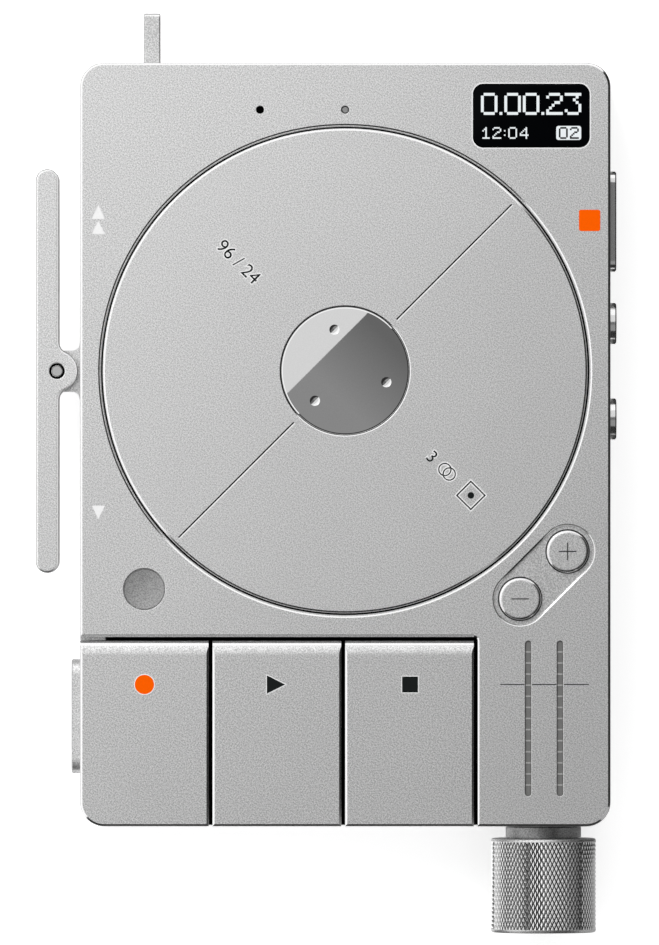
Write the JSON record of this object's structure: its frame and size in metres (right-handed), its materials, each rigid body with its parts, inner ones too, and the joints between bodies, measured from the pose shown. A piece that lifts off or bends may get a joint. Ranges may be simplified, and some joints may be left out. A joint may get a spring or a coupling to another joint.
{
  "type": "field recorder",
  "caption": "Pocket digital field recorder in satin aluminium with a large spinning reel disc, hinged transport keys, a side rocker lever and a knurled plug adapter",
  "frame": {"origin": "On the outer face of the back cover, straight behind the axis of the reel, where the recorder lies on its back.", "axes": "Right-handed, metres. +Z comes out of the front face, +Y runs up the front from the transport keys to the display, +X runs to the right of the front as seen by a user."},
  "size_m": [0.0747, 0.1181, 0.0163],
  "materials": {
    "satin_aluminium": "bead-blasted and clear anodised",
    "mirror_metal": "polished",
    "steel": "plain",
    "black_glass": "gloss, printed black behind",
    "black_plastic": "fine moulded",
    "smoked_plastic": "smoked, clear",
    "grey_mesh": "fine perforated",
    "circuit_board": "solder-masked laminate",
    "copper": "enamelled windings",
    "foil": "dull pouch foil",
    "gold": "gold-plated"
  },
  "bodies": {
    "case": {"front_case": "satin_aluminium", "back_cover": "satin_aluminium", "cover_screw_1": "steel", "cover_screw_2": "steel", "cover_screw_3": "steel", "cover_screw_4": "steel", "reel_bearing": "steel", "motor_stator": "copper", "display_window": "black_glass", "display_module": "black_plastic", "microphone": "gold", "status_light": "smoked_plastic", "speaker_cover": "grey_mesh", "speaker": "black_plastic", "left_meter": "smoked_plastic", "right_meter": "smoked_plastic", "control_board": "circuit_board", "key_axle": "steel", "key_board": "circuit_board", "key_spring": "steel", "rocker_bracket": "satin_aluminium", "rocker_pivot": "steel", "rocker_spring": "steel", "rocker_sensor": "circuit_board", "side_board": "circuit_board", "left_board": "circuit_board", "power_switch": "black_plastic", "jack_1": "black_plastic", "jack_2": "black_plastic", "jack_3": "black_plastic", "data_socket": "steel", "main_board": "circuit_board", "battery": "foil", "output_socket": "black_plastic"},
    "reel": {"reel_disc": "satin_aluminium", "hub_cap": "mirror_metal", "motor_shaft": "steel", "motor_rotor": "steel"},
    "rocker": {"rocker_lever": "satin_aluminium"},
    "record_key": {"record_key": "satin_aluminium"},
    "play_key": {"play_key": "satin_aluminium"},
    "stop_key": {"stop_key": "satin_aluminium"},
    "plus_button": {"plus_button": "satin_aluminium"},
    "minus_button": {"minus_button": "satin_aluminium"},
    "memo_button": {"memo_button": "satin_aluminium"},
    "upper_side_button": {"upper_side_button": "satin_aluminium"},
    "lower_side_button": {"lower_side_button": "satin_aluminium"},
    "left_button": {"left_button": "satin_aluminium"},
    "power": {"power_lever": "satin_aluminium"},
    "adapter": {"adapter_plug": "steel", "adapter_shell": "satin_aluminium", "adapter_jack": "black_plastic"}
  },
  "joints": [
    {"name": "reel_spin", "type": "hinge", "parent": "case", "child": "reel", "pos_m": [0, 0, 0.016], "axis": [0, 0, 1], "continuous": true},
    {"name": "rocker_tilt", "type": "hinge", "parent": "case", "child": "rocker", "pos_m": [-0.03703, 0, 0.008], "axis": [0, 0, 1], "range_deg": [-4, 4], "stiffness_Nm_per_rad": 0.25},
    {"name": "record_key_press", "type": "hinge", "parent": "case", "child": "record_key", "pos_m": [-0.02576, -0.03822, 0.0118], "axis": [1, 0, 0], "range_deg": [0, 3], "stiffness_Nm_per_rad": 0.3},
    {"name": "play_key_press", "type": "hinge", "parent": "case", "child": "play_key", "pos_m": [-0.00876, -0.03822, 0.0118], "axis": [1, 0, 0], "range_deg": [0, 3], "stiffness_Nm_per_rad": 0.3},
    {"name": "stop_key_press", "type": "hinge", "parent": "case", "child": "stop_key", "pos_m": [0.00824, -0.03822, 0.0118], "axis": [1, 0, 0], "range_deg": [0, 3], "stiffness_Nm_per_rad": 0.3},
    {"name": "plus_button_press", "type": "slide", "parent": "case", "child": "plus_button", "axis": [0, 0, -1], "range_m": [0, 0.0003], "stiffness_N_per_m": 3000},
    {"name": "minus_button_press", "type": "slide", "parent": "case", "child": "minus_button", "axis": [0, 0, -1], "range_m": [0, 0.0003], "stiffness_N_per_m": 3000},
    {"name": "memo_button_press", "type": "slide", "parent": "case", "child": "memo_button", "axis": [-1, 0, 0], "range_m": [0, 0.0005], "stiffness_N_per_m": 3000},
    {"name": "upper_side_button_press", "type": "slide", "parent": "case", "child": "upper_side_button", "axis": [-1, 0, 0], "range_m": [0, 0.0005], "stiffness_N_per_m": 3000},
    {"name": "lower_side_button_press", "type": "slide", "parent": "case", "child": "lower_side_button", "axis": [-1, 0, 0], "range_m": [0, 0.0005], "stiffness_N_per_m": 3000},
    {"name": "left_button_press", "type": "slide", "parent": "case", "child": "left_button", "axis": [1, 0, 0], "range_m": [0, 0.0005], "stiffness_N_per_m": 3000},
    {"name": "power_tilt", "type": "hinge", "parent": "case", "child": "power", "pos_m": [-0.02482, 0.0354, 0.008], "axis": [1, 0, 0], "range_deg": [-9, 9]},
    {"name": "adapter_pull", "type": "slide", "parent": "case", "child": "adapter", "axis": [0, -1, 0], "range_m": [0, 0.032]}
  ]
}
